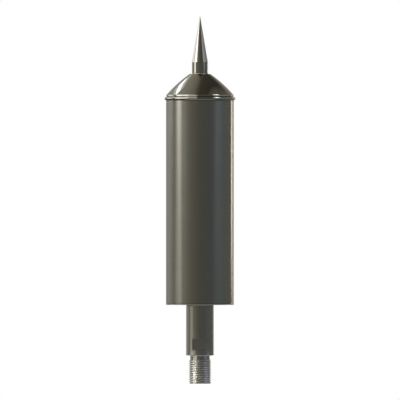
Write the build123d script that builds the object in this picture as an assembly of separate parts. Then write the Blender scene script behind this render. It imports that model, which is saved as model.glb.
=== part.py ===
from build123d import *
import os
from math import atan2, cos, radians, sin, sqrt, tan

# Air terminal for lightning protection: a pointed rod that runs through a sealed tube housing and screws into a
# spigot with an M20 stud. The rod is the tie bolt: it pulls the cap down on the tube and the tube on its base plate.
# Millimetres, +Z up. The origin is the centre of the shoulder that seats on the mast, and the stud hangs below it.

# Mast stud: M20 x 2, its undercut and its shoulder
thread_d = 20.0
stud_length = 25.0
stud_end_chamfer = 0.6
undercut_d = 17.4
undercut_length = 3.3
undercut_fillet = 0.5

# Spigot, its wrench flats and its boss inside the housing
spigot_d = 24.6
spigot_length = 44.7
spigot_top_round = 0.8
spigot_seat_chamfer = 0.4
flats_across = 19.0
flats_bottom = 5.0
flats_height = 10.2
boss_d = 16.0
boss_length = 17.0
boss_chamfer = 0.5

# Housing tube
tube_d = 60.3
tube_wall = 2.0
tube_length = 180.0
tube_edge_break = 0.3

# Base plate
base_flange_thickness = 1.5
base_flange_chamfer = 0.4
base_register_length = 10.5

# Cone cap, from its rim up
bead_round = 1.45
bead_stand_out = 1.3
groove_width = 0.8
groove_depth = 0.55
shoulder_land = 0.8
shoulder_round = 1.5
shoulder_inset = 0.1
dome_rise = 18.9
dome_radius = 110.0
cap_top_d = 18.3
cap_top_round = 0.6
cap_wall = 2.2
skirt_length = 12.0
skirt_wall = 2.55
hub_wall = 3.2
hub_depth = 9.9

# Central rod, M10 at its foot and M8 at its head
rod_d = 10.0
rod_grip = 25.0
rod_end_chamfer = 1.0
rod_hole_spare = 3.0
collar_d = 14.3
collar_length = 9.9
collar_round = 0.4
drill_half_angle = 59.0

# Strike tip
tip_base_d = 14.1
tip_half_angle = 9.5
tip_nose_radius = 0.25
tip_stud_d = 8.0
tip_stud_length = 9.0
tip_hole_spare = 2.0
tip_edge_chamfer = 0.15

# Insulating bushes: each stands a little proud of the metal, so that the metal parts never touch
bush_proud = 0.3
top_bush_wall = 1.1
top_bush_flange_d = 13.8
top_bush_flange_thickness = 1.2
top_bush_overhang = 1.5
base_bush_wall = 1.7
base_bush_flange_d = 23.6
base_bush_flange_thickness = 1.5
base_bush_overhang = 1.0

# Seal rings, as squeezed between groove and bore
housing_seal_section = 1.75
boss_seal_section = 1.3
rod_seal_section = 1.0
seal_groove_ratio = 1.4
rod_seal_drop = 5.0

# Nuts and washers on the rod
nut_across = 17.0
nut_height = 8.0
nut_chamfer_angle = 30.0
washer_d = 20.0
washer_thickness = 2.0
split_washer_d = 16.2
split_washer_thickness = 2.2
split_width = 1.6
split_angle = 25.0

# Trigger module and the discs that carry it
disc_thickness = 4.0
disc_gap = 0.3
disc_chamfer = 0.5
module_d = 50.0
module_height = 100.0
module_edge_round = 1.5
sleeve_wall = 1.8

# Terminals: two M4 screws with their strips
terminal_radius = 18.0
screw_d = 4.0
screw_grip = 8.0
screw_head_d = 7.0
screw_head_height = 2.4
screw_slot_width = 1.0
screw_slot_depth = 1.1
screw_hole_spare = 1.0
strap_thickness = 0.8
strap_width = 10.0
strap_ring_d = 17.0
strap_riser_radius = 13.0
strap_bend = 1.5
strap_end = 5.0
contact_thickness = 0.5
contact_width = 8.0
contact_rise = 9.0
contact_reach = 2.5
contact_bend = 2.0
contact_foot = 5.0

# Radial clearance of every sliding fit
slip_gap = 0.1

# Heights that follow, from the seat up
spigot_top = spigot_length
boss_top = spigot_top + boss_length
housing_bottom = spigot_top + bush_proud
tube_bottom = housing_bottom + base_flange_thickness
tube_top = tube_bottom + tube_length
bead_middle = tube_top + bead_round
bead_top = bead_middle + bead_round
land_bottom = bead_top + groove_width
dome_bottom = land_bottom + shoulder_land
cap_top = dome_bottom + dome_rise
collar_bottom = cap_top + bush_proud
collar_top = collar_bottom + collar_length
lock_nut_bottom = boss_top + strap_thickness
lower_disc_bottom = lock_nut_bottom + nut_height
module_bottom = lower_disc_bottom + disc_thickness
module_top = module_bottom + module_height
upper_disc_top = module_top + disc_thickness
washer_top = upper_disc_top + washer_thickness
clamp_nut_bottom = washer_top + split_washer_thickness

# Radii that follow
tube_bore_r = tube_d / 2 - tube_wall
register_r = tube_bore_r - slip_gap
shoulder_r = tube_d / 2 - shoulder_inset
rod_r = rod_d / 2
rod_slip_r = rod_r + slip_gap
boss_slip_r = boss_d / 2 + slip_gap
top_bush_r = rod_slip_r + top_bush_wall
base_bush_r = boss_slip_r + base_bush_wall
sleeve_r = rod_slip_r + sleeve_wall


def turned(outline):
    """The solid that an outline of (radius, height) lines makes when it is turned about Z."""
    return revolve(Plane.XZ * make_face(outline), Axis.Z)


def ring(inner_r, outer_r, bottom, top):
    """A plain ring or tube about Z."""
    corners = [(inner_r, bottom), (outer_r, bottom), (outer_r, top), (inner_r, top)]
    return turned(Polyline(*corners, close=True))


def rims(piece, *places):
    """The circular edges of a turned piece at each given (radius, height)."""
    circles = piece.edges().filter_by(GeomType.CIRCLE)
    return [
        edge
        for edge in circles
        for radius, height in places
        if abs(edge.radius - radius) < 1e-3 and abs(edge.arc_center.Z - height) < 1e-3
    ]


def seal_ring(inner_r, outer_r, height):
    """A round ring that touches its groove's floor and its bore."""
    section_r = (outer_r - inner_r) / 2
    return Pos(0, 0, height) * Torus(inner_r + section_r, section_r)


def seal_groove(bore_r, outer_r, section, height):
    """What is cut away round a turned piece for a seal that fills the way from its floor to the bore."""
    half = section * seal_groove_ratio / 2
    return ring(bore_r - section, outer_r + 1, height - half, height + half)


def drilled(radius, mouth, depth):
    """A blind hole drilled down from its mouth, with the drill's point."""
    floor = mouth - depth
    point = floor - radius / tan(radians(drill_half_angle))
    return turned(Polyline((0, mouth), (radius, mouth), (radius, floor), (0, point), close=True))


def make_mounting_spigot():
    """One turned piece: stud, undercut, seating shoulder, spigot with its flats, and the boss inside the housing."""
    thread_r = thread_d / 2
    undercut_r = undercut_d / 2
    thread_start = -undercut_length - (thread_r - undercut_r)
    corners = [
        (0, -stud_length),
        (thread_r, -stud_length),
        (thread_r, thread_start),
        (undercut_r, -undercut_length),
        (undercut_r, 0),
        (spigot_d / 2, 0),
        (spigot_d / 2, spigot_top),
        (boss_d / 2, spigot_top),
        (boss_d / 2, boss_top),
        (0, boss_top),
    ]
    spigot = turned(Polyline(*corners, close=True))
    spigot = fillet(rims(spigot, (undercut_r, 0)), undercut_fillet)
    spigot = fillet(rims(spigot, (spigot_d / 2, spigot_top)), spigot_top_round)
    spigot = chamfer(rims(spigot, (spigot_d / 2, 0)), spigot_seat_chamfer)
    spigot = chamfer(rims(spigot, (thread_r, -stud_length)), stud_end_chamfer)
    spigot = chamfer(rims(spigot, (boss_d / 2, boss_top)), boss_chamfer)
    spigot -= drilled(rod_r, boss_top, rod_grip + rod_hole_spare)
    spigot -= seal_groove(boss_slip_r, boss_d / 2, boss_seal_section, boss_seal_height())
    flat_depth = (spigot_d - flats_across) / 2
    cutter = Box(spigot_d, flat_depth, flats_height)
    for side in (-1, 1):
        middle_y = side * (flats_across + flat_depth) / 2
        spigot -= Pos(0, middle_y, flats_bottom + flats_height / 2) * cutter
    return spigot


def boss_seal_height():
    """The boss's seal lies half way up the base plate."""
    return housing_bottom + (base_flange_thickness + base_register_length) / 2


def make_base_plate():
    """Turned disc: its flange closes the tube's end, its register centres the tube and holds a seal ring."""
    plate_top = tube_bottom + base_register_length
    seat = housing_bottom + base_bush_flange_thickness - bush_proud
    seat_r = base_bush_flange_d / 2 + slip_gap
    hole_r = base_bush_r + slip_gap
    corners = [
        (seat_r, housing_bottom),
        (tube_d / 2, housing_bottom),
        (tube_d / 2, tube_bottom),
        (register_r, tube_bottom),
        (register_r, plate_top),
        (hole_r, plate_top),
        (hole_r, seat),
        (seat_r, seat),
    ]
    plate = turned(Polyline(*corners, close=True))
    plate = chamfer(rims(plate, (tube_d / 2, housing_bottom)), base_flange_chamfer)
    plate = chamfer(rims(plate, (register_r, plate_top)), base_flange_chamfer)
    return plate - seal_groove(tube_bore_r, register_r, housing_seal_section, base_seal_height())


def base_seal_height():
    """The base plate's seal lies half way along its register."""
    return tube_bottom + base_register_length / 2


def cap_seal_height():
    """The cap's seal lies half way down its skirt."""
    return tube_top - skirt_length / 2


def make_body_tube():
    """Plain tube, with the sharp edges broken at both ends."""
    tube = ring(tube_bore_r, tube_d / 2, tube_bottom, tube_top)
    ends = rims(tube, (tube_d / 2, tube_bottom), (tube_d / 2, tube_top))
    return chamfer(ends, tube_edge_break)


def dome_centre():
    """The centre of the flank's arc, below and inside the cone, as (radius, height)."""
    across = shoulder_r - cap_top_d / 2
    chord = sqrt(across**2 + dome_rise**2)
    away = sqrt(dome_radius**2 - (chord / 2) ** 2) / chord
    middle_r = (shoulder_r + cap_top_d / 2) / 2
    middle_z = (dome_bottom + cap_top) / 2
    return middle_r - dome_rise * away, middle_z - across * away


def dome_height(radius, inset=0.0):
    """The flank's height at a radius, or that of the surface a given inset under it."""
    centre_r, centre_z = dome_centre()
    return centre_z + sqrt((dome_radius - inset) ** 2 - (radius - centre_r) ** 2)


def dome_arc(start_r, end_r, inset=0.0):
    """The flank's arc between two radii."""
    radii = (start_r, (start_r + end_r) / 2, end_r)
    return ThreePointArc(*[(radius, dome_height(radius, inset)) for radius in radii])


def make_cone_cap():
    """Turned shell: convex flank, shoulder, groove and bead outside; hub, skirt and seal groove inside."""
    bead_centre_r = tube_d / 2 + bead_stand_out - bead_round
    bead_out = (bead_centre_r + bead_round, bead_middle)
    groove_floor = (shoulder_r - groove_depth, bead_top + groove_width / 2)
    skirt_inner_r = register_r - skirt_wall
    skirt_bottom = tube_top - skirt_length
    hole_r = top_bush_r + slip_gap
    hub_r = hole_r + hub_wall
    seat = collar_bottom - top_bush_flange_thickness
    seat_r = top_bush_flange_d / 2 + slip_gap
    outside = Polyline(
        (shoulder_r, dome_bottom),
        (shoulder_r, land_bottom),
        groove_floor,
        (bead_centre_r, bead_top),
    )
    bead = ThreePointArc((bead_centre_r, bead_top), bead_out, (bead_centre_r, tube_top))
    skirt = Polyline(
        (bead_centre_r, tube_top),
        (register_r, tube_top),
        (register_r, skirt_bottom),
        (skirt_inner_r, skirt_bottom),
        (skirt_inner_r, dome_height(skirt_inner_r, cap_wall)),
    )
    hub = Polyline(
        (hub_r, dome_height(hub_r, cap_wall)),
        (hub_r, cap_top - hub_depth),
        (hole_r, cap_top - hub_depth),
        (hole_r, seat),
        (seat_r, seat),
        (seat_r, cap_top),
        (cap_top_d / 2, cap_top),
    )
    flank = dome_arc(cap_top_d / 2, shoulder_r)
    underside = dome_arc(skirt_inner_r, hub_r, cap_wall)
    cap = turned(flank + outside + bead + skirt + underside + hub)
    cap = fillet(rims(cap, (shoulder_r, dome_bottom)), shoulder_round)
    cap = fillet(rims(cap, (cap_top_d / 2, cap_top)), cap_top_round)
    return cap - seal_groove(tube_bore_r, register_r, housing_seal_section, cap_seal_height())


def make_central_rod():
    """One turned bar: threaded foot, plain shank with a seal groove, and the collar that takes the tip."""
    foot = boss_top - rod_grip
    corners = [
        (0, foot),
        (rod_r, foot),
        (rod_r, collar_bottom),
        (collar_d / 2, collar_bottom),
        (collar_d / 2, collar_top),
        (0, collar_top),
    ]
    rod = turned(Polyline(*corners, close=True))
    rod = chamfer(rims(rod, (rod_r, foot)), rod_end_chamfer)
    rod = fillet(rims(rod, (collar_d / 2, collar_bottom)), collar_round)
    rod -= seal_groove(rod_slip_r, rod_r, rod_seal_section, rod_seal_height())
    return rod - drilled(tip_stud_d / 2, collar_top, tip_stud_length + tip_hole_spare)


def rod_seal_height():
    """The rod's seal lies inside the top bush."""
    return collar_bottom - rod_seal_drop


def make_strike_tip():
    """Turned cone with a blunt nose, on a stud that screws into the rod's collar."""
    half_angle = radians(tip_half_angle)
    base_r = tip_base_d / 2
    point = collar_top + base_r / tan(half_angle)
    nose_centre = point - tip_nose_radius / sin(half_angle)
    meets = (tip_nose_radius * cos(half_angle), nose_centre + tip_nose_radius * sin(half_angle))
    nose_mid_angle = (half_angle + radians(90)) / 2
    nose_mid = (
        tip_nose_radius * cos(nose_mid_angle),
        nose_centre + tip_nose_radius * sin(nose_mid_angle),
    )
    top = (0, nose_centre + tip_nose_radius)
    sides = Polyline(
        top,
        (0, collar_top - tip_stud_length),
        (tip_stud_d / 2, collar_top - tip_stud_length),
        (tip_stud_d / 2, collar_top),
        (base_r, collar_top),
        meets,
    )
    tip = turned(sides + ThreePointArc(meets, nose_mid, top))
    tip = chamfer(rims(tip, (base_r, collar_top)), tip_edge_chamfer)
    return chamfer(rims(tip, (tip_stud_d / 2, collar_top - tip_stud_length)), rod_end_chamfer / 2)


def make_top_insulator():
    """Flanged bush between the rod and the cap; the collar clamps its flange."""
    flange_bottom = collar_bottom - top_bush_flange_thickness
    barrel_bottom = cap_top - hub_depth - top_bush_overhang
    barrel = ring(rod_slip_r, top_bush_r, barrel_bottom, flange_bottom)
    return barrel + ring(rod_slip_r, top_bush_flange_d / 2, flange_bottom, collar_bottom)


def make_base_insulator():
    """Flanged bush between the spigot's boss and the base plate; the spigot's shoulder clamps its flange."""
    flange_top = spigot_top + base_bush_flange_thickness
    barrel_top = tube_bottom + base_register_length + base_bush_overhang
    flange = ring(boss_slip_r, base_bush_flange_d / 2, spigot_top, flange_top)
    return flange + ring(boss_slip_r, base_bush_r, flange_top, barrel_top)


def hex_nut(bottom):
    """Hexagon nut on the rod, its corners turned off at both faces."""
    corner_r = nut_across / sqrt(3)
    nut = extrude(RegularPolygon(nut_across / 2, 6, major_radius=False), nut_height)
    drop = (corner_r - nut_across / 2) * tan(radians(nut_chamfer_angle))
    turned_form = turned(
        Polyline(
            (0, 0),
            (nut_across / 2, 0),
            (corner_r, drop),
            (corner_r, nut_height - drop),
            (nut_across / 2, nut_height),
            (0, nut_height),
            close=True,
        )
    )
    return Pos(0, 0, bottom) * ((nut & turned_form) - ring(0, rod_r, -1, nut_height + 1))


def make_spring_washer():
    """Split washer, pressed flat, with its slanted gap to the back."""
    washer = ring(rod_slip_r, split_washer_d / 2, washer_top, clamp_nut_bottom)
    gap = Box(split_width, split_washer_d, 4 * split_washer_thickness)
    middle = (washer_top + clamp_nut_bottom) / 2
    place = Pos(0, split_washer_d / 2 + rod_r / 2, middle) * Rot(0, split_angle, 0)
    return washer - place * gap


def support_disc(bottom):
    """Insulating disc that centres the module in the tube, with a hole for its terminal's screw."""
    outer_r = tube_bore_r - disc_gap
    disc = ring(rod_slip_r, outer_r, bottom, bottom + disc_thickness)
    disc = chamfer(rims(disc, (outer_r, bottom), (outer_r, bottom + disc_thickness)), disc_chamfer)
    return disc - terminal_hole(bottom - 1, bottom + disc_thickness + 1, slip_gap)


def terminal_hole(bottom, top, gap=0.0):
    """An upright hole for a terminal's screw."""
    hole = Cylinder(screw_d / 2 + gap, top - bottom, align=(Align.CENTER, Align.CENTER, Align.MIN))
    return Pos(terminal_radius, 0, bottom) * hole


def screw_reach():
    """How far a terminal's screw goes into the module."""
    return screw_grip - disc_thickness


def make_trigger_module():
    """Potted ring module: a sealed round block with a bore for the rod's sleeve and a terminal at each end."""
    module = ring(sleeve_r, module_d / 2, module_bottom, module_top)
    ends = rims(module, (module_d / 2, module_bottom), (module_d / 2, module_top))
    module = fillet(ends, module_edge_round)
    depth = screw_reach() + screw_hole_spare
    module -= terminal_hole(module_bottom, module_bottom + depth)
    return module - terminal_hole(module_top - depth, module_top)


def terminal_screw(seat, up):
    """Slotted screw whose head bears on seat; up is 1 where the head is on top and -1 where it hangs."""
    thickness = contact_thickness if up == 1 else strap_thickness
    length = thickness + screw_grip
    low = (Align.CENTER, Align.CENTER, Align.MIN)
    high = (Align.CENTER, Align.CENTER, Align.MAX)
    head = Cylinder(screw_head_d / 2, screw_head_height, align=low)
    slot = Pos(0, 0, screw_head_height) * Box(
        2 * screw_head_d, screw_slot_width, 2 * screw_slot_depth
    )
    screw = head - slot + Cylinder(screw_d / 2, length, align=high)
    turn = Rot(0, 0, 0) if up == 1 else Rot(180, 0, 0)
    return Pos(terminal_radius, 0, seat) * turn * screw


def make_terminal_screws():
    """The two like screws, one at each end of the module."""
    upper = terminal_screw(upper_disc_top + contact_thickness, 1)
    lower = terminal_screw(lower_disc_bottom - strap_thickness, -1)
    return Compound(children=[upper, lower])


def bent_strip(points, bend, thickness, width):
    """A flat strip bent along points of its middle plane, given as (radius, height)."""
    path = FilletPolyline(*points, radius=bend)
    return extrude(Plane.XZ * trace(path, thickness), width / 2, both=True)


def make_earth_strap():
    """Strip from a ring on the boss's top, round the lock nut and up to the lower terminal."""
    low = boss_top + strap_thickness / 2
    high = lower_disc_bottom - strap_thickness / 2
    points = [
        (0, low),
        (strap_riser_radius, low),
        (strap_riser_radius, high),
        (terminal_radius + strap_end, high),
    ]
    strap = bent_strip(points, strap_bend, strap_thickness, strap_width)
    strap += ring(0, strap_ring_d / 2, boss_top, boss_top + strap_thickness)
    strap -= ring(0, rod_slip_r, boss_top - 1, boss_top + strap_thickness + 1)
    return strap - terminal_hole(high - strap_thickness, high + strap_thickness, slip_gap)


def make_housing_contact():
    """Spring strip on the upper disc; the two corners of its rounded nose bear on the tube's bore."""
    low = upper_disc_top + contact_thickness / 2
    lean = atan2(contact_reach, contact_rise / 2)
    nose_setback = contact_bend * (1 / cos(lean) - 1)
    reach_r = sqrt(tube_bore_r**2 - (contact_width / 2) ** 2) - contact_thickness / 2 + nose_setback
    points = [
        (terminal_radius - contact_foot, low),
        (reach_r - contact_reach, low),
        (reach_r, low + contact_rise / 2),
        (reach_r - contact_reach, low + contact_rise),
    ]
    strip = bent_strip(points, contact_bend, contact_thickness, contact_width)
    return strip - terminal_hole(low - contact_thickness, low + contact_thickness, slip_gap)


def boss_seal_ring():
    """The ring between the spigot's boss and its bush."""
    return seal_ring(boss_slip_r - boss_seal_section, boss_slip_r, boss_seal_height())


def housing_seal_ring(height):
    """A ring between a register and the tube's bore."""
    return seal_ring(tube_bore_r - housing_seal_section, tube_bore_r, height)


def rod_seal_ring():
    """The ring between the rod and the top bush."""
    return seal_ring(rod_slip_r - rod_seal_section, rod_slip_r, rod_seal_height())


pieces = {
    "mounting_spigot": make_mounting_spigot(),
    "base_plate": make_base_plate(),
    "body_tube": make_body_tube(),
    "cone_cap": make_cone_cap(),
    "central_rod": make_central_rod(),
    "strike_tip": make_strike_tip(),
    "top_insulator": make_top_insulator(),
    "base_insulator": make_base_insulator(),
    "rod_seal_ring": rod_seal_ring(),
    "cap_seal_ring": housing_seal_ring(cap_seal_height()),
    "base_seal_ring": housing_seal_ring(base_seal_height()),
    "spigot_seal_ring": boss_seal_ring(),
    "earth_strap": make_earth_strap(),
    "lock_nut": hex_nut(lock_nut_bottom),
    "lower_support_disc": support_disc(lower_disc_bottom),
    "rod_sleeve": ring(rod_slip_r, sleeve_r, module_bottom, module_top),
    "trigger_module": make_trigger_module(),
    "upper_support_disc": support_disc(module_top),
    "housing_contact": make_housing_contact(),
    "terminal_screws": make_terminal_screws(),
    "clamp_washer": ring(rod_slip_r, washer_d / 2, upper_disc_top, washer_top),
    "spring_washer": make_spring_washer(),
    "clamp_nut": hex_nut(clamp_nut_bottom),
}

os.makedirs("parts", exist_ok=True)
for name, piece in pieces.items():
    export_step(piece, f"parts/{name}.step")
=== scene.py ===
from math import atan2, ceil, cos, hypot, pi, radians, sin, sqrt, tan

import bpy
from mathutils import Matrix, Vector


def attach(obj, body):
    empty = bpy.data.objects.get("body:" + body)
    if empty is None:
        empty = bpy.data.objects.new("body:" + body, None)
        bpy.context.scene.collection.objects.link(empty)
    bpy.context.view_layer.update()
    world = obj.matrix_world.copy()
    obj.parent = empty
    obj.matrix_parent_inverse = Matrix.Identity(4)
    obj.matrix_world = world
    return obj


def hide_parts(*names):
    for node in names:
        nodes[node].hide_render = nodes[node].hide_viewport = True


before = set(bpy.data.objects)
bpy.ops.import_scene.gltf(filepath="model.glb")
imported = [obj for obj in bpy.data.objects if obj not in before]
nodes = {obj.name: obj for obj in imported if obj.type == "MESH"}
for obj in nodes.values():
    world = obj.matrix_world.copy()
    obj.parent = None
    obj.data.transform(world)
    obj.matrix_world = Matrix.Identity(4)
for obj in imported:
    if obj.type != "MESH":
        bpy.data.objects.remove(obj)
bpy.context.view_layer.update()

# Mounting spigot
# One bar of stainless steel, turned fine: boss, spigot with two milled spanner flats, seat, undercut and
# M20 x 2 stud. It screws into the mast's head, and everything else is pulled down on it by the central
# rod.

# Sizes are in mm, and heights are measured up from the seat. MM makes them metres for a mesh or a pattern.
MM = 0.001
thread_r = 10.0
thread_pitch = 2.0
stud_length = 25.0
stud_end_chamfer = 0.6
undercut_r = 8.7
undercut_length = 3.3
undercut_fillet = 0.5
spigot_r = 12.3
spigot_top = 44.7
spigot_top_round = 0.8
seat_chamfer = 0.4
flats_across = 19.0
flats_bottom = 5.0
flats_height = 10.2
boss_r = 8.0
boss_top = 61.7
boss_chamfer = 0.5
boss_seal = 1.3
boss_seal_height = 51.0
rod_r = 5.0
rod_foot = 36.7
rod_hole_spare = 3.0
slip_gap = 0.1

# A rounded corner is drawn in steps of up to ROUND_STEP, with a holding point HOLD beyond each end. Edges
# sharper than SHARP_ANGLE stay crisp, and points within SEAM_GAP, in metres, are merged.
ROUND_STEP = radians(10)
SHARP_ANGLE = radians(26)
HOLD = 0.03
SEAM_GAP = 1e-6
# A seal groove is this many times as wide as its ring is thick, and a drill's point this share of its
# radius high.
GROOVE_RATIO = 1.4
DRILL_POINT = 0.6
# A metric thread's depth, and its flats at the root and the crest, as shares of the pitch.
THREAD_DEPTH = 0.54127
ROOT_FLAT = 1 / 4
CREST_FLAT = 1 / 8


def corner_round(before, corner, after, size):
    """A rounded corner's points, with a holding point either side, so that its shading stays within it."""
    to_before = (before[0] - corner[0], before[1] - corner[1])
    to_after = (after[0] - corner[0], after[1] - corner[1])
    u = [value / hypot(*to_before) for value in to_before]
    v = [value / hypot(*to_after) for value in to_after]
    opening = atan2(abs(u[0] * v[1] - u[1] * v[0]), u[0] * v[0] + u[1] * v[1])
    reach = size / tan(opening / 2)
    middle = [(a + b) / hypot(u[0] + v[0], u[1] + v[1]) for a, b in zip(u, v)]
    centre = [c + m * size / sin(opening / 2) for c, m in zip(corner, middle)]
    first = [c + reach * a for c, a in zip(corner, u)]
    start = atan2(first[1] - centre[1], first[0] - centre[0])
    turn = pi - opening
    if u[0] * v[1] - u[1] * v[0] > 0:
        turn = -turn
    steps = ceil(abs(turn) / ROUND_STEP)
    points = [[c + (reach + HOLD) * a for c, a in zip(corner, u)]]
    for step in range(steps + 1):
        angle = start + turn * step / steps
        points.append([centre[0] + size * cos(angle), centre[1] + size * sin(angle)])
    points.append([c + (reach + HOLD) * b for c, b in zip(corner, v)])
    return points


def outline(*corners):
    """A piece's section as (radius, height) in mm; a corner with a third value is rounded by that much."""
    line = []
    for place, corner in enumerate(corners):
        if len(corner) == 3:
            line += corner_round(corners[place - 1], corner[:2], corners[place + 1], corner[2])
        else:
            line.append(corner)
    return line


def seal_groove(surface_r, section, middle):
    """The corners of the groove that an O-ring of that section squeezes into."""
    floor_r = surface_r + slip_gap - section
    half = section * GROOVE_RATIO / 2
    return [
        (surface_r, middle - half),
        (floor_r, middle - half),
        (floor_r, middle + half),
        (surface_r, middle + half),
    ]


def add(tree, kind, inputs=(), **settings):
    """Adds a node with its settings, then its inputs, each of them a value or another node's output."""
    node = tree.nodes.new(kind)
    for name, value in settings.items():
        setattr(node, name, value)
    for name, value in dict(inputs).items():
        if isinstance(value, bpy.types.NodeSocket):
            tree.links.new(value, node.inputs[name])
        else:
            node.inputs[name].default_value = value
    return node


def piece_tree(name, **sizes):
    """A Geometry Nodes tree with a piece in and out, a material, and a named input for each size."""
    tree = bpy.data.node_groups.new(name, "GeometryNodeTree")
    tree.interface.new_socket("Piece", in_out="INPUT", socket_type="NodeSocketGeometry")
    for size, kind in sizes.items():
        tree.interface.new_socket(size.replace("_", " "), in_out="INPUT", socket_type=kind)
    tree.interface.new_socket("Finish", in_out="INPUT", socket_type="NodeSocketMaterial")
    tree.interface.new_socket("Piece", in_out="OUTPUT", socket_type="NodeSocketGeometry")
    return tree, add(tree, "NodeGroupInput").outputs


def close_tree(tree, shape, finish, where=None):
    """Merges seams, marks sharp edges, and ends in real geometry with its material where it is told."""
    merged = add(tree, "GeometryNodeMergeByDistance", {"Geometry": shape, "Distance": SEAM_GAP})
    smooth = add(tree, "GeometryNodeSetShadeSmooth", {0: merged.outputs[0]}, domain="FACE")
    angle = add(tree, "GeometryNodeInputMeshEdgeAngle")
    sharp = add(tree, "FunctionNodeCompare", {0: angle.outputs[0], 1: SHARP_ANGLE})
    edges = add(
        tree,
        "GeometryNodeSetShadeSmooth",
        {0: smooth.outputs[0], "Selection": sharp.outputs[0], "Shade Smooth": False},
        domain="EDGE",
    )
    real = add(tree, "GeometryNodeRealizeInstances", {0: edges.outputs[0]})
    dressed = add(tree, "GeometryNodeSetMaterial", {0: real.outputs[0], "Material": finish})
    if where:
        tree.links.new(where, dressed.inputs["Selection"])
    out = add(tree, "NodeGroupOutput")
    tree.links.new(dressed.outputs[0], out.inputs[0])


def make_lathe():
    """Turns an outline, given as a row of points, round the Z axis."""
    tree, given = piece_tree("turn_on_lathe", Columns="NodeSocketInt")
    count = add(tree, "GeometryNodeAttributeDomainSize", {0: given["Piece"]}).outputs[0]
    wide = add(tree, "ShaderNodeMath", {0: given["Columns"], 1: 1.0}, operation="ADD")
    sheet = add(
        tree,
        "GeometryNodeMeshGrid",
        {"Vertices X": wide.outputs[0], "Vertices Y": count},
    )
    index = add(tree, "GeometryNodeInputIndex").outputs[0]
    row = add(tree, "ShaderNodeMath", {0: index, 1: count}, operation="MODULO")
    ratio = add(tree, "ShaderNodeMath", {0: index, 1: count}, operation="DIVIDE")
    column = add(tree, "ShaderNodeMath", {0: ratio.outputs[0]}, operation="FLOOR")
    turns = add(
        tree, "ShaderNodeMath", {0: column.outputs[0], 1: given["Columns"]}, operation="DIVIDE"
    )
    angle = add(tree, "ShaderNodeMath", {0: turns.outputs[0], 1: 2 * pi}, operation="MULTIPLY")
    place = add(tree, "GeometryNodeInputPosition").outputs[0]
    point = add(
        tree,
        "GeometryNodeSampleIndex",
        {"Geometry": given["Piece"], "Value": place, "Index": row.outputs[0]},
        data_type="FLOAT_VECTOR",
    )
    turned = add(
        tree,
        "ShaderNodeVectorRotate",
        {"Vector": point.outputs[0], "Angle": angle.outputs[0]},
        rotation_type="Z_AXIS",
    )
    moved = add(
        tree, "GeometryNodeSetPosition", {0: sheet.outputs[0], "Position": turned.outputs[0]}
    )
    close_tree(tree, moved.outputs[0], given["Finish"])
    return tree


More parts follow.
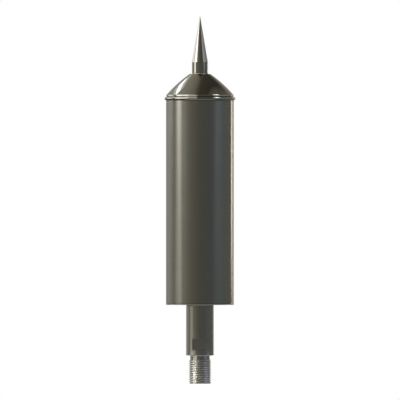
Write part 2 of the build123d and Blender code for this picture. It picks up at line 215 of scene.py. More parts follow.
def make_thread_cutter():
    """Replaces a plain shank between two heights by a right-hand thread of metric form."""
    rows_to_pitch = 16
    runout_slope = 2.0
    tree, given = piece_tree(
        "cut_thread",
        Pitch="NodeSocketFloat",
        Crest_radius="NodeSocketFloat",
        Bottom="NodeSocketFloat",
        Top="NodeSocketFloat",
        Bottom_radius="NodeSocketFloat",
        Top_radius="NodeSocketFloat",
        Columns="NodeSocketInt",
    )
    length = add(
        tree, "ShaderNodeMath", {0: given["Top"], 1: given["Bottom"]}, operation="SUBTRACT"
    )
    pitches = add(
        tree, "ShaderNodeMath", {0: length.outputs[0], 1: given["Pitch"]}, operation="DIVIDE"
    )
    whole = add(tree, "ShaderNodeMath", {0: pitches.outputs[0]}, operation="CEIL")
    turns = add(tree, "ShaderNodeMath", {0: whole.outputs[0], 1: 1.0}, operation="ADD")
    tall = add(
        tree,
        "ShaderNodeMath",
        {0: turns.outputs[0], 1: rows_to_pitch, 2: 1.0},
        operation="MULTIPLY_ADD",
    )
    wide = add(tree, "ShaderNodeMath", {0: given["Columns"], 1: 1.0}, operation="ADD")
    sheet = add(
        tree,
        "GeometryNodeMeshGrid",
        {
            "Size X": 1.0,
            "Size Y": 1.0,
            "Vertices X": wide.outputs[0],
            "Vertices Y": tall.outputs[0],
        },
    )
    # A sheet of points is wrapped round the axis, and climbs by one pitch a turn.
    place = add(tree, "GeometryNodeInputPosition")
    flat = add(tree, "ShaderNodeSeparateXYZ", {0: place.outputs[0]})
    round_part = add(tree, "ShaderNodeMath", {0: flat.outputs[0], 1: 0.5}, operation="ADD")
    rise = add(tree, "ShaderNodeMath", {0: flat.outputs[1], 1: 0.5}, operation="ADD")
    turn = add(
        tree, "ShaderNodeMath", {0: rise.outputs[0], 1: turns.outputs[0]}, operation="MULTIPLY"
    )
    along = add(
        tree, "ShaderNodeMath", {0: turn.outputs[0], 1: round_part.outputs[0]}, operation="ADD"
    )
    below = add(tree, "ShaderNodeMath", {0: along.outputs[0], 1: 1.0}, operation="SUBTRACT")
    climbed = add(
        tree,
        "ShaderNodeMath",
        {0: below.outputs[0], 1: given["Pitch"], 2: given["Bottom"]},
        operation="MULTIPLY_ADD",
    )
    height = add(
        tree,
        "ShaderNodeClamp",
        {"Value": climbed.outputs[0], "Min": given["Bottom"], "Max": given["Top"]},
    )
    # A place is this far from the groove's middle, in pitches: 0 in the root, and 0.5 on the crest.
    wave = add(tree, "ShaderNodeMath", {0: turn.outputs[0], 1: 0.5}, operation="PINGPONG")
    slope = {
        "Value": wave.outputs[0],
        "From Min": ROOT_FLAT / 2,
        "From Max": (1 - CREST_FLAT) / 2,
    }
    depth = add(
        tree, "ShaderNodeMath", {0: given["Pitch"], 1: THREAD_DEPTH}, operation="MULTIPLY"
    )
    root = add(
        tree,
        "ShaderNodeMath",
        {0: given["Crest radius"], 1: depth.outputs[0]},
        operation="SUBTRACT",
    )
    form = add(
        tree,
        "ShaderNodeMapRange",
        {**slope, "To Min": root.outputs[0], "To Max": given["Crest radius"]},
    )
    over_bottom = add(
        tree, "ShaderNodeMath", {0: height.outputs[0], 1: given["Bottom"]}, operation="SUBTRACT"
    )
    under_top = add(
        tree, "ShaderNodeMath", {0: given["Top"], 1: height.outputs[0]}, operation="SUBTRACT"
    )
    # The chamfers at both ends are cut through the thread, and its groove runs out towards them.
    radius = form.outputs[0]
    for end, gap in (("Bottom radius", over_bottom), ("Top radius", under_top)):
        chamfer = add(
            tree, "ShaderNodeMath", {0: given[end], 1: gap.outputs[0]}, operation="ADD"
        )
        runout = add(
            tree,
            "ShaderNodeMath",
            {0: gap.outputs[0], 1: -runout_slope, 2: given[end]},
            operation="MULTIPLY_ADD",
        )
        cut = add(tree, "ShaderNodeMath", {0: radius, 1: chamfer.outputs[0]}, operation="MINIMUM")
        kept = add(
            tree, "ShaderNodeMath", {0: cut.outputs[0], 1: runout.outputs[0]}, operation="MAXIMUM"
        )
        radius = kept.outputs[0]
    angle = add(
        tree, "ShaderNodeMath", {0: round_part.outputs[0], 1: 2 * pi}, operation="MULTIPLY"
    )
    point = add(tree, "ShaderNodeCombineXYZ", {0: radius, 2: height.outputs[0]})
    turned = add(
        tree,
        "ShaderNodeVectorRotate",
        {"Vector": point.outputs[0], "Angle": angle.outputs[0]},
        rotation_type="Z_AXIS",
    )
    # How near the crest each place is, kept as an attribute. The thread's material paints the roots darker
    # with it, as painted shade.
    crest = add(tree, "ShaderNodeMapRange", slope)
    marked = add(
        tree,
        "GeometryNodeStoreNamedAttribute",
        {"Geometry": sheet.outputs[0], "Name": "ridge", "Value": crest.outputs[0]},
    )
    thread = add(
        tree, "GeometryNodeSetPosition", {0: marked.outputs[0], "Position": turned.outputs[0]}
    )
    # The plain shank between the two heights goes, and the thread joins on in its place.
    middle = add(tree, "ShaderNodeSeparateXYZ", {0: place.outputs[0]})
    above = add(tree, "FunctionNodeCompare", {0: middle.outputs[2], 1: given["Bottom"]})
    under = add(
        tree, "FunctionNodeCompare", {0: middle.outputs[2], 1: given["Top"]}, operation="LESS_THAN"
    )
    zone = add(tree, "FunctionNodeBooleanMath", {0: above.outputs[0], 1: under.outputs[0]})
    blank = add(
        tree,
        "GeometryNodeDeleteGeometry",
        {"Geometry": given["Piece"], "Selection": zone.outputs[0]},
        domain="FACE",
    )
    joined = add(tree, "GeometryNodeJoinGeometry")
    tree.links.new(blank.outputs[0], joined.inputs[0])
    tree.links.new(thread.outputs[0], joined.inputs[0])
    close_tree(tree, joined.outputs[0], given["Finish"], zone.outputs[0])
    return tree


def make_flat_mill():
    """Mills two spanner flats, one to each side, between two heights."""
    flat_facing = 0.999
    flat_reach = 1e-5
    tree, given = piece_tree(
        "mill_flats",
        Across="NodeSocketFloat",
        Bottom="NodeSocketFloat",
        Height="NodeSocketFloat",
        Block="NodeSocketFloat",
    )
    size = add(
        tree,
        "ShaderNodeCombineXYZ",
        {0: given["Block"], 1: given["Block"], 2: given["Height"]},
    )
    block = add(tree, "GeometryNodeMeshCube", {"Size": size.outputs[0]})
    reach = add(tree, "ShaderNodeMath", {0: given["Across"], 1: given["Block"]}, operation="ADD")
    level = add(
        tree,
        "ShaderNodeMath",
        {0: given["Height"], 1: 0.5, 2: given["Bottom"]},
        operation="MULTIPLY_ADD",
    )
    milled = add(
        tree,
        "GeometryNodeMeshBoolean",
        {"Mesh 1": given["Piece"]},
        operation="DIFFERENCE",
        solver="EXACT",
    )
    for side in (-0.5, 0.5):
        shift = add(tree, "ShaderNodeMath", {0: reach.outputs[0], 1: side}, operation="MULTIPLY")
        place = add(tree, "ShaderNodeCombineXYZ", {1: shift.outputs[0], 2: level.outputs[0]})
        cutter = add(
            tree,
            "GeometryNodeTransform",
            {"Geometry": block.outputs[0], "Translation": place.outputs[0]},
        )
        tree.links.new(cutter.outputs[0], milled.inputs[1])
    # The milled finish goes on the faces that look along Y at the flats' own depth.
    normal = add(tree, "GeometryNodeInputNormal").outputs[0]
    faces_y = add(tree, "ShaderNodeSeparateXYZ", {0: normal}).outputs[1]
    facing = add(tree, "ShaderNodeMath", {0: faces_y}, operation="ABSOLUTE")
    square = add(tree, "FunctionNodeCompare", {0: facing.outputs[0], 1: flat_facing})
    spot = add(tree, "GeometryNodeInputPosition").outputs[0]
    spot_y = add(tree, "ShaderNodeSeparateXYZ", {0: spot}).outputs[1]
    off_axis = add(tree, "ShaderNodeMath", {0: spot_y}, operation="ABSOLUTE")
    half = add(tree, "ShaderNodeMath", {0: given["Across"], 1: 0.5}, operation="MULTIPLY")
    at_depth = add(
        tree,
        "FunctionNodeCompare",
        {0: off_axis.outputs[0], 1: half.outputs[0], "Epsilon": flat_reach},
        operation="EQUAL",
    )
    on_flat = add(
        tree, "FunctionNodeBooleanMath", {0: at_depth.outputs[0], 1: square.outputs[0]}
    )
    close_tree(tree, milled.outputs[0], given["Finish"], on_flat.outputs[0])
    return tree


lathe = make_lathe()
thread_cutter = make_thread_cutter()
flat_mill = make_flat_mill()


def finished(node, slot, finish, line, columns, *steps):
    """Turns the outline, runs the further steps, and hands in the result in place of a CAD node."""
    mesh = bpy.data.meshes.new(node)
    points = [(radius * MM, 0, height * MM) for radius, height in line]
    mesh.from_pydata(points, [(n, n + 1) for n in range(len(points) - 1)], [])
    blank = bpy.data.objects.new(node + "_blank", mesh)
    bpy.context.scene.collection.objects.link(blank)
    for tree, sizes in ((lathe, {"Columns": columns, "Finish": finish}), *steps):
        step = blank.modifiers.new(tree.name, "NODES")
        step.node_group = tree
        for socket in tree.interface.items_tree:
            if socket.in_out == "INPUT" and socket.name in sizes:
                step[socket.identifier] = sizes[socket.name]
    ready = blank.evaluated_get(bpy.context.evaluated_depsgraph_get())
    solid = bpy.data.meshes.new_from_object(ready)
    # The blank's own material slot comes first, and is empty.
    solid.materials.pop(index=0)
    piece = bpy.data.objects.new(node + "_finished", solid)
    bpy.data.objects.remove(blank)
    bpy.context.scene.collection.objects.link(piece)
    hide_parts(node)
    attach(piece, "root")
    return piece


def linear(code):
    """An sRGB hex colour as linear values."""
    parts = [int(code[at : at + 2], 16) / 255 for at in (1, 3, 5)]
    curve = [part / 12.92 if part <= 0.04045 else ((part + 0.055) / 1.055) ** 2.4 for part in parts]
    return (*curve, 1.0)


def start_material(name):
    """A new material, its nodes, and the place on the piece that every pattern here reads."""
    material = bpy.data.materials.new(name)
    material.use_nodes = True
    tree = material.node_tree
    return material, tree, add(tree, "ShaderNodeTexCoord").outputs["Object"]


def tool_marks(tree, place, line_mm, straight=False):
    """Fine marks that run round the axis, as a lathe or a belt leaves them, or straight along X."""
    drift_mm = 18.2
    parts = add(tree, "ShaderNodeSeparateXYZ", {0: place})
    if straight:
        across = add(tree, "ShaderNodeCombineXYZ", {0: parts.outputs[1], 1: parts.outputs[2]})
    else:
        flat = add(tree, "ShaderNodeCombineXYZ", {0: parts.outputs[0], 1: parts.outputs[1]})
        radius = add(tree, "ShaderNodeVectorMath", {0: flat.outputs[0]}, operation="LENGTH")
        across = add(tree, "ShaderNodeCombineXYZ", {0: radius.outputs["Value"], 1: parts.outputs[2]})
    swing = {"Vector": place, "Scale": 1 / (drift_mm * MM), "Detail": 2.0}
    drift = add(tree, "ShaderNodeTexNoise", swing)
    wander = add(
        tree,
        "ShaderNodeVectorMath",
        {0: drift.outputs["Color"], 1: (line_mm * MM,) * 3, 2: across.outputs[0]},
        operation="MULTIPLY_ADD",
    )
    size = 1 / (line_mm * MM)
    marks = {"Vector": wander.outputs[0], "Scale": size, "Detail": 3.0, "Roughness": 0.6}
    return add(tree, "ShaderNodeTexNoise", marks).outputs["Fac"]


def surface(tree, place, pattern, light, dark, roughness, spread, depth_mm):
    """Colour, roughness and relief from one pattern between 0 and 1, with the haze of handling over it."""
    haze_mm = 35.7
    noise_span = {"From Min": 0.3, "From Max": 0.7}
    shader = tree.nodes["Principled BSDF"]
    colours = {"Factor": pattern, "A": linear(dark), "B": linear(light)}
    tone = add(tree, "ShaderNodeMix", colours, data_type="RGBA")
    tree.links.new(tone.outputs["Result"], shader.inputs["Base Color"])
    haze = {"Vector": place, "Scale": 1 / (haze_mm * MM), "Detail": 5.0, "Roughness": 0.55}
    touch = add(tree, "ShaderNodeTexNoise", haze)
    even = add(
        tree,
        "ShaderNodeMapRange",
        {
            "Value": touch.outputs["Fac"],
            **noise_span,
            "To Min": roughness - spread,
            "To Max": roughness + spread,
        },
    )
    streaks = add(
        tree, "ShaderNodeMath", {0: pattern, 1: spread, 2: even.outputs[0]}, operation="MULTIPLY_ADD"
    )
    tree.links.new(streaks.outputs[0], shader.inputs["Roughness"])
    relief = add(tree, "ShaderNodeBump", {"Height": pattern, "Distance": depth_mm * MM})
    tree.links.new(relief.outputs[0], shader.inputs["Normal"])
    return shader


def metal(
    name,
    light,
    dark,
    roughness,
    spread,
    line_mm,
    line_depth_mm,
    grain=0.0,
    straight=False,
    centre_mm=0.0,
):
    """A metal with tool marks, round the axis or one beside it; grain draws its lights out lengthways."""
    material, tree, place = start_material(name)
    if centre_mm:
        centred = {"Vector": place, "Location": (-centre_mm * MM, 0, 0)}
        place = add(tree, "ShaderNodeMapping", centred).outputs[0]
    marks = tool_marks(tree, place, line_mm, straight)
    shader = surface(tree, place, marks, light, dark, roughness, spread, line_depth_mm)
    shader.inputs["Metallic"].default_value = 1.0
    if grain:
        quarter_turn = 0.25
        shader.inputs["Anisotropic"].default_value = grain
        shader.inputs["Anisotropic Rotation"].default_value = quarter_turn
        tangent = add(tree, "ShaderNodeTangent", direction_type="RADIAL", axis="Z")
        tree.links.new(tangent.outputs[0], shader.inputs["Tangent"])
    return material


# A fine-turned bar is a little duller than a polished one, and its feed marks draw every reflection out
# along the axis. The marks are 0.1 mm apart on the real bar, and 0.4 mm here so that they show.
turned_steel = metal(
    "fine-turned stainless steel",
    "#bab7af",
    "#adaaa1",
    roughness=0.15,
    spread=0.03,
    line_mm=0.4,
    line_depth_mm=0.0008,
    grain=0.3,
)

# A die leaves a thread rougher than a lathe leaves the bar. Its crests are painted light and its roots
# dark, as painted shade in the grooves, with a little of the tool marks mixed in. The thread cutter says
# how near the crest each place is.
cut_thread_steel, tree, place = start_material("die-cut stainless steel thread")
ridge = add(tree, "ShaderNodeAttribute", attribute_name="ridge").outputs["Fac"]
marks = tool_marks(tree, place, line_mm=0.3)
# Mostly painted shade from the roots to the crests, and a little of the real tool marks.
root_shade_and_marks = add(tree, "ShaderNodeMix", {"Factor": 0.15, "A": ridge, "B": marks})
cut = surface(
    tree,
    place,
    root_shade_and_marks.outputs[0],
    "#f0eee8",
    "#a19f99",
    roughness=0.29,
    spread=0.03,
    depth_mm=0.0006,
)
cut.inputs["Metallic"].default_value = 1.0

# A milling cutter crosses the flats in straight passes 0.3 mm apart, and leaves them flat and fairly dull.
milled_steel = metal(
    "milled stainless steel",
    "#bab8b0",
    "#adaaa2",
    roughness=0.22,
    spread=0.03,
    line_mm=0.3,
    line_depth_mm=0.0008,
    straight=True,
)

spigot_columns = 128
cutter_size = 40.0
rod_hole_end = rod_foot - rod_hole_spare
spigot = outline(
    (0, -stud_length),
    (thread_r - stud_end_chamfer, -stud_length),
    (thread_r, stud_end_chamfer - stud_length),
    (thread_r, undercut_r - thread_r - undercut_length),
    (undercut_r, -undercut_length),
    (undercut_r, 0, undercut_fillet),
    (spigot_r - seat_chamfer, 0),
    (spigot_r, seat_chamfer),
    (spigot_r, flats_bottom),
    (spigot_r, flats_bottom + flats_height),
    (spigot_r, spigot_top, spigot_top_round),
    (boss_r, spigot_top),
    *seal_groove(boss_r, boss_seal, boss_seal_height),
    (boss_r, boss_top - boss_chamfer),
    (boss_r - boss_chamfer, boss_top),
    (rod_r, boss_top),
    (rod_r, rod_hole_end),
    (0, rod_hole_end - rod_r * DRILL_POINT),
)
stud = {
    "Pitch": thread_pitch * MM,
    "Crest radius": thread_r * MM,
    "Bottom": -stud_length * MM,
    "Top": -undercut_length * MM,
    "Bottom radius": (thread_r - stud_end_chamfer) * MM,
    "Top radius": undercut_r * MM,
    "Columns": spigot_columns,
    "Finish": cut_thread_steel,
}
flats = {
    "Across": flats_across * MM,
    "Bottom": flats_bottom * MM,
    "Height": flats_height * MM,
    "Block": cutter_size * MM,
    "Finish": milled_steel,
}
finished(
    "mounting_spigot",
    "turned_steel",
    turned_steel,
    spigot,
    spigot_columns,
    (thread_cutter, stud),
    (flat_mill, flats),
)

# Seal rings
# Four moulded O-rings of black rubber, squeezed in their grooves to keep the weather out: boss to bush,
# base plate to tube, cap to tube, and rod to bush.


def dress(finish, *names):
    """Gives carried-over CAD nodes their finish."""
    for name in names:
        nodes[name].material_slots[0].material = finish


# Moulded rubber is matt and very dark, with the fine grain of its mould, 0.25 mm wide, and a greyish
# bloom where it has been handled.
rubber, tree, place = start_material("black moulded rubber")
grain_mm = 0.25
skin = {"Vector": place, "Scale": 1 / (grain_mm * MM), "Detail": 4.0, "Roughness": 0.65}
grain = add(tree, "ShaderNodeTexNoise", skin).outputs["Fac"]
surface(
    tree, place, grain, "#2b2b2c", "#19191a", roughness=0.6, spread=0.08, depth_mm=0.004
)
dress(rubber, "spigot_seal_ring", "base_seal_ring", "cap_seal_ring", "rod_seal_ring")

# Insulating bushes and sleeve
# Turned from white fluoroplastic rod: a flanged bush in the base plate, another in the cap's hub, and a
# plain tube between rod and module. They keep the housing and the module off the rod.

# The plastic is waxy: light goes up to 1.5 mm in, and the turning tool leaves faint rings 0.3 mm apart.
waxy_white, tree, place = start_material("turned white fluoroplastic")
rings = tool_marks(tree, place, line_mm=0.3)
wax = surface(
    tree, place, rings, "#f1f0ea", "#dddcd4", roughness=0.38, spread=0.06, depth_mm=0.003
)
wax.inputs["Subsurface Weight"].default_value = 0.25
wax.inputs["Subsurface Radius"].default_value = (1.0, 0.95, 0.85)
wax.inputs["Subsurface Scale"].default_value = 1.5 * MM
dress(waxy_white, "base_insulator", "rod_sleeve", "top_insulator")

# Base plate
# A turned disc of stainless steel. Its flange closes the tube, and its register slips into it with a
# groove for a seal. It sits on an insulating bush round the spigot's boss.

tube_r = 30.15
tube_bore_r = 28.15
register_r = tube_bore_r - slip_gap
bush_proud = 0.3
housing_bottom = spigot_top + bush_proud
base_flange_thickness = 1.5
base_flange_chamfer = 0.4
base_register_length = 10.5
tube_bottom = housing_bottom + base_flange_thickness
base_top = tube_bottom + base_register_length
base_hole_r = 9.9
base_pocket_r = 11.9
base_pocket_top = 46.2
housing_seal = 1.75
plate_columns = 192

# Satin steel is ground round and round with a fine belt, so its lights are soft-edged and drawn out along
# the axis. The belt's scratches are far finer than the 0.5 mm drawn here.
satin_steel = metal(
    "satin stainless steel",
    "#b3b0a8",
    "#a8a59d",
    roughness=0.2,
    spread=0.02,
    line_mm=0.5,
    line_depth_mm=0.0004,
    grain=0.45,
)

base_plate = outline(
    (base_pocket_r, housing_bottom),
    (tube_r - base_flange_chamfer, housing_bottom),
    (tube_r, housing_bottom + base_flange_chamfer),
    (tube_r, tube_bottom),
    (register_r, tube_bottom),
    *seal_groove(register_r, housing_seal, tube_bottom + base_register_length / 2),
    (register_r, base_top - base_flange_chamfer),
    (register_r - base_flange_chamfer, base_top),
    (base_hole_r, base_top),
    (base_hole_r, base_pocket_top),
    (base_pocket_r, base_pocket_top),
    (base_pocket_r, housing_bottom),
)
finished("base_plate", "satin_steel", satin_steel, base_plate, plate_columns)

# Central rod
# One polished bar of stainless steel: a threaded foot in the spigot, a shank through the housing with a
# thread for the clamp nut, and the collar that carries the tip.

rod_end_chamfer = 1.0
rod_pitch = 1.5
foot_thread_top = 73.0
clamp_thread_bottom = 178.5
clamp_thread_top = 194.0
rod_seal = 1.0
rod_seal_drop = 5.0
collar_r = 7.15
collar_bottom = 250.2
collar_length = 9.9
collar_round = 0.4
collar_top = collar_bottom + collar_length
tip_stud_r = 4.0
tip_stud_length = 9.0
tip_hole_spare = 2.0

# Mirror-polished steel is nearly free of marks, so the studio shows in it sharply, with a faint haze of
# wiping. What is left of the polisher's rings is drawn 0.6 mm apart.
polished_steel = metal(
    "mirror-polished stainless steel",
    "#b4b1a8",
    "#aeaba2",
    roughness=0.06,
    spread=0.02,
    line_mm=0.6,
    line_depth_mm=0.0002,
)

rod_columns = 96
tip_hole_end = collar_top - tip_stud_length - tip_hole_spare
rod = outline(
    (0, rod_foot),
    (rod_r - rod_end_chamfer, rod_foot),
    (rod_r, rod_foot + rod_end_chamfer),
    (rod_r, foot_thread_top),
    (rod_r, clamp_thread_bottom),
    (rod_r, clamp_thread_top),
    *seal_groove(rod_r, rod_seal, collar_bottom - rod_seal_drop),
    (rod_r, collar_bottom),
    (collar_r, collar_bottom, collar_round),
    (collar_r, collar_top),
    (tip_stud_r, collar_top),
    (tip_stud_r, tip_hole_end),
    (0, tip_hole_end - tip_stud_r * DRILL_POINT),
)
foot_thread = {
    "Pitch": rod_pitch * MM,
    "Crest radius": rod_r * MM,
    "Bottom": rod_foot * MM,
    "Top": foot_thread_top * MM,
    "Bottom radius": (rod_r - rod_end_chamfer) * MM,
    "Top radius": rod_r * MM,
    "Columns": rod_columns,
    "Finish": cut_thread_steel,
}
clamp_thread = {
    **foot_thread,
    "Bottom": clamp_thread_bottom * MM,
    "Top": clamp_thread_top * MM,
    "Bottom radius": rod_r * MM,
}
finished(
    "central_rod",
    "polished_steel",
    polished_steel,
    rod,
    rod_columns,
    (thread_cutter, foot_thread),
    (thread_cutter, clamp_thread),
)

# Nuts and washers
# M10 nuts of stainless steel with a plain and a split washer: the lock nut holds the rod in the spigot,
# and the clamp nut holds the module's stack down on it.

# Nuts are turned from drawn bar and left bright but not polished, with coarse rings on their faces.
fastener_steel = metal(
    "bright stainless fastener",
    "#bab7b0",
    "#98958d",
    roughness=0.24,
    spread=0.05,
    line_mm=0.25,
    line_depth_mm=0.0015,
)
dress(fastener_steel, "lock_nut", "clamp_washer", "spring_washer", "clamp_nut")

# Support discs
# Two machined discs of glass-fibre laminate that centre the module in the tube and insulate its ends.

# The cloth shows through the resin as a small plain weave, drawn 0.8 mm apart, and as layers of 0.3 mm on
# the cut edges.
laminate, tree, place = start_material("glass-fibre laminate")
weave_mm = 0.8
layer_mm = 0.3
weave_share = 0.3
along = add(tree, "ShaderNodeSeparateXYZ", {0: place}).outputs
threads = []
for side in (along[0], along[1]):
    waves = {0: side, 1: 2 * pi / (weave_mm * MM)}
    turns = add(tree, "ShaderNodeMath", waves, operation="MULTIPLY")
    threads.append(add(tree, "ShaderNodeMath", {0: turns.outputs[0]}, operation="SINE").outputs[0])
crossed = add(tree, "ShaderNodeMath", {0: threads[0], 1: threads[1]}, operation="MULTIPLY")
upright = add(tree, "ShaderNodeCombineXYZ", {2: along[2]})
layer = {"Vector": upright.outputs[0], "Scale": 1 / (layer_mm * MM), "Detail": 2.0}
layers = add(tree, "ShaderNodeTexNoise", layer).outputs["Fac"]
cloth = add(
    tree,
    "ShaderNodeMath",
    {0: crossed.outputs[0], 1: weave_share, 2: layers},
    operation="MULTIPLY_ADD",
)
surface(
    tree, place, cloth.outputs[0], "#c3cb9c", "#8d9c6a", roughness=0.35, spread=0.06, depth_mm=0.01
)
dress(laminate, "lower_support_disc", "upper_support_disc")

# Contact strips
# Punched and bent from rolled bronze: the earth strap joins the rod to the module's lower terminal, and
# the sprung housing contact joins the upper one to the tube.

# Rolling leaves straight fine lines along the strip, and the bronze has a warm, slightly uneven tarnish.
rolled_bronze = metal(
    "rolled spring bronze",
    "#d9a56c",
    "#b3804c",
    roughness=0.26,
    spread=0.06,
    line_mm=0.2,
    line_depth_mm=0.001,
    straight=True,
)
dress(rolled_bronze, "earth_strap", "housing_contact")

# Trigger module
# The sealed working part: a circuit potted in a ring of black resin, with a bore for the rod's sleeve.

# Poured resin sets with a soft gloss and a slow ripple, and a few pinholes, about 6 mm apart, where air
# came out.
potting, tree, place = start_material("cast black potting resin")
pinhole_mm = 6
ripple_mm = 9
spots = {"Vector": place, "Scale": 1 / (pinhole_mm * MM)}
holes = add(tree, "ShaderNodeTexVoronoi", spots).outputs["Distance"]
pinholes = add(tree, "ShaderNodeMapRange", {"Value": holes, "From Min": 0.04, "From Max": 0.08})
slow = {"Vector": place, "Scale": 1 / (ripple_mm * MM), "Detail": 2.0}
flow = add(tree, "ShaderNodeTexNoise", slow)
ripple = add(
    tree, "ShaderNodeMath", {0: pinholes.outputs[0], 1: flow.outputs["Fac"]}, operation="MULTIPLY"
)
surface(
    tree, place, ripple.outputs[0], "#3b3b3e", "#232326", roughness=0.28, spread=0.06, depth_mm=0.03
)
dress(potting, "trigger_module")

# Terminal screws
# Two slotted M4 screws of brass, 18 mm off the axis, that hold the strips on the module's terminals.

# Turned brass is bright yellow, with faint rings from the lathe.
turned_brass = metal(
    "turned brass",
    "#e3c77c",
    "#c2a355",
    roughness=0.2,
    spread=0.05,
    line_mm=0.2,
    line_depth_mm=0.0012,
    centre_mm=18,
)
dress(turned_brass, "terminal_screws")

# Body tube
# A plain length of satin stainless tube, clamped between the base plate and the cap. Its ends are
# squared, and their outer edges are broken.

tube_length = 180.0
tube_edge_break = 0.3
tube_top = tube_bottom + tube_length
tube_columns = 256

body_tube = outline(
    (tube_bore_r, tube_bottom),
    (tube_r - tube_edge_break, tube_bottom),
    (tube_r, tube_bottom + tube_edge_break),
    (tube_r, tube_top - tube_edge_break),
    (tube_r - tube_edge_break, tube_top),
    (tube_bore_r, tube_top),
    (tube_bore_r, tube_bottom),
)
finished("body_tube", "satin_steel", satin_steel, body_tube, tube_columns)

# Cone cap
# Turned from bar and polished to a mirror: a convex flank, a shoulder, a groove and a bead that laps the
# tube's rim. Its skirt slips into the tube on a seal ring, and its hub takes the rod's insulating bush.

cap_top = collar_bottom - bush_proud
cap_top_r = 9.15
cap_top_round = 0.6
cap_wall = 2.2
skirt_length = 12.0
skirt_inner_r = 25.5
hub_hole_r = 6.3
hub_wall = 3.2
hub_depth = 9.9
bush_seat_r = 7.0
bush_seat_depth = 0.9
bead_round = 1.45
bead_r = 30.0
groove_width = 0.8
groove_depth = 0.55
shoulder_r = 30.05
shoulder_land = 0.8
shoulder_round = 1.5
flank_round = 110.0
flank_start_r = 29.3
flank_end_r = 9.6
flank_steps = 48
underside_steps = 24
bead_steps = 24
cap_columns = 256

bead_middle = tube_top + bead_round
bead_top = bead_middle + bead_round
land_bottom = bead_top + groove_width
flank_bottom = land_bottom + shoulder_land
skirt_bottom = tube_top - skirt_length
# The flank is an arc from the shoulder to the cap's top, with its centre square off the chord's middle.
chord = (cap_top_r - shoulder_r, cap_top - flank_bottom)
square_off = sqrt((flank_round / hypot(*chord)) ** 2 - 0.25)
flank_centre = (
    (cap_top_r + shoulder_r) / 2 - square_off * chord[1],
    (cap_top + flank_bottom) / 2 + square_off * chord[0],
)


def flank(start, end, inset, steps):
    """Points along the flank's arc between two radii, or along its underside at an inset."""
    size = flank_round - inset
    radii = [start + (end - start) * step / steps for step in range(steps + 1)]
    return [(r, flank_centre[1] + sqrt(size**2 - (r - flank_centre[0]) ** 2)) for r in radii]


bead = [
    (bead_r + bead_round * cos(angle), bead_middle + bead_round * sin(angle))
    for angle in (pi * (step / bead_steps - 0.5) for step in range(bead_steps + 1))
]
cone_cap = outline(
    (skirt_inner_r, skirt_bottom),
    (register_r, skirt_bottom),
    *seal_groove(register_r, housing_seal, tube_top - skirt_length / 2),
    (register_r, tube_top),
    *bead,
    (shoulder_r - groove_depth, bead_top + groove_width / 2),
    (shoulder_r, land_bottom),
    (shoulder_r, flank_bottom, shoulder_round),
    *flank(flank_start_r, flank_end_r, 0, flank_steps),
    (cap_top_r, cap_top, cap_top_round),
    (bush_seat_r, cap_top),
    (bush_seat_r, cap_top - bush_seat_depth),
    (hub_hole_r, cap_top - bush_seat_depth),
    (hub_hole_r, cap_top - hub_depth),
    (hub_hole_r + hub_wall, cap_top - hub_depth),
    *flank(hub_hole_r + hub_wall, skirt_inner_r, cap_wall, underside_steps),
    (skirt_inner_r, skirt_bottom),
)
finished("cone_cap", "polished_steel", polished_steel, cone_cap, cap_columns)

# Strike tip
# A slender point of stainless steel with a blunt nose, polished like the rod. It is turned with its
# threaded stud from one bar, and screws into the rod's collar.

tip_r = 7.05
tip_half_angle = radians(9.5)
tip_edge_chamfer = 0.15
tip_stud_chamfer = 0.5
tip_pitch = 1.25
nose_r = 0.25
nose_steps = 8
tip_foot = collar_top - tip_stud_length
tip_slope = tan(tip_half_angle)
nose_height = collar_top + (tip_r - nose_r / cos(tip_half_angle)) / tip_slope
nose_sweep = radians(90) - tip_half_angle
nose = [
    (nose_r * cos(angle), nose_height + nose_r * sin(angle))
    for angle in (tip_half_angle + nose_sweep * step / nose_steps for step in range(nose_steps + 1))
]
tip = outline(
    (0, tip_foot),
    (tip_stud_r - tip_stud_chamfer, tip_foot),
    (tip_stud_r, tip_foot + tip_stud_chamfer),
    (tip_stud_r, collar_top),
    (tip_r - tip_edge_chamfer, collar_top),
    (tip_r - tip_edge_chamfer * tip_slope, collar_top + tip_edge_chamfer),
    (nose[0][0] + HOLD * tip_slope, nose[0][1] - HOLD),
    *nose[:-1],
    (0, nose_height + nose_r),
)
tip_columns = 96
tip_thread = {
    "Pitch": tip_pitch * MM,
    "Crest radius": tip_stud_r * MM,
    "Bottom": tip_foot * MM,
    "Top": collar_top * MM,
    "Bottom radius": (tip_stud_r - tip_stud_chamfer) * MM,
    "Top radius": tip_stud_r * MM,
    "Columns": tip_columns,
    "Finish": cut_thread_steel,
}
finished(
    "strike_tip",
    "polished_steel",
    polished_steel,
    tip,
    tip_columns,
    (thread_cutter, tip_thread),
)

# Camera
# It stands at the photograph's viewing angle: level, very far off with a long lens, so that every edge
# round the part looks straight, and a little to the left of the flats' normal. Distances here and in the
# studio are in metres.

view_turn = radians(4.9)
camera_distance = 12.0
camera_height = 0.15
aim_height = 0.138
lens_mm = 1217
toward = (-sin(view_turn), -cos(view_turn))
rightward = (cos(view_turn), -sin(view_turn))
dip = atan2(aim_height - camera_height, camera_distance)
camera = bpy.data.objects.new("camera", bpy.data.cameras.new("camera"))
bpy.context.scene.collection.objects.link(camera)
bpy.context.scene.camera = camera
camera.data.lens = lens_mm
camera.data.clip_end = 50
camera.location = (toward[0] * camera_distance, toward[1] * camera_distance, camera_height)
camera.rotation_euler = (pi / 2 + dip, 0, -view_turn)

# Studio
# Soft lamps draw the long lights on the metal, in a room that is dim in front and bright behind, with a
# white sweep as its backdrop. Each lamp is a strip that shines one way and that the camera doesn't see.

# The lamps face the part at this height.
lit_height = 0.15
# An area lamp of this many watts a square metre is as bright as a surface of strength 1.
lamp_power = 4


def place_in_studio(azimuth, distance, height):
    """A point round the part; azimuth 0 is towards the camera, and less than 0 is to its left."""
    turn = radians(azimuth)
    across = Vector(rightward) * sin(turn) + Vector(toward) * cos(turn)
    return Vector((across.x * distance, across.y * distance, height))


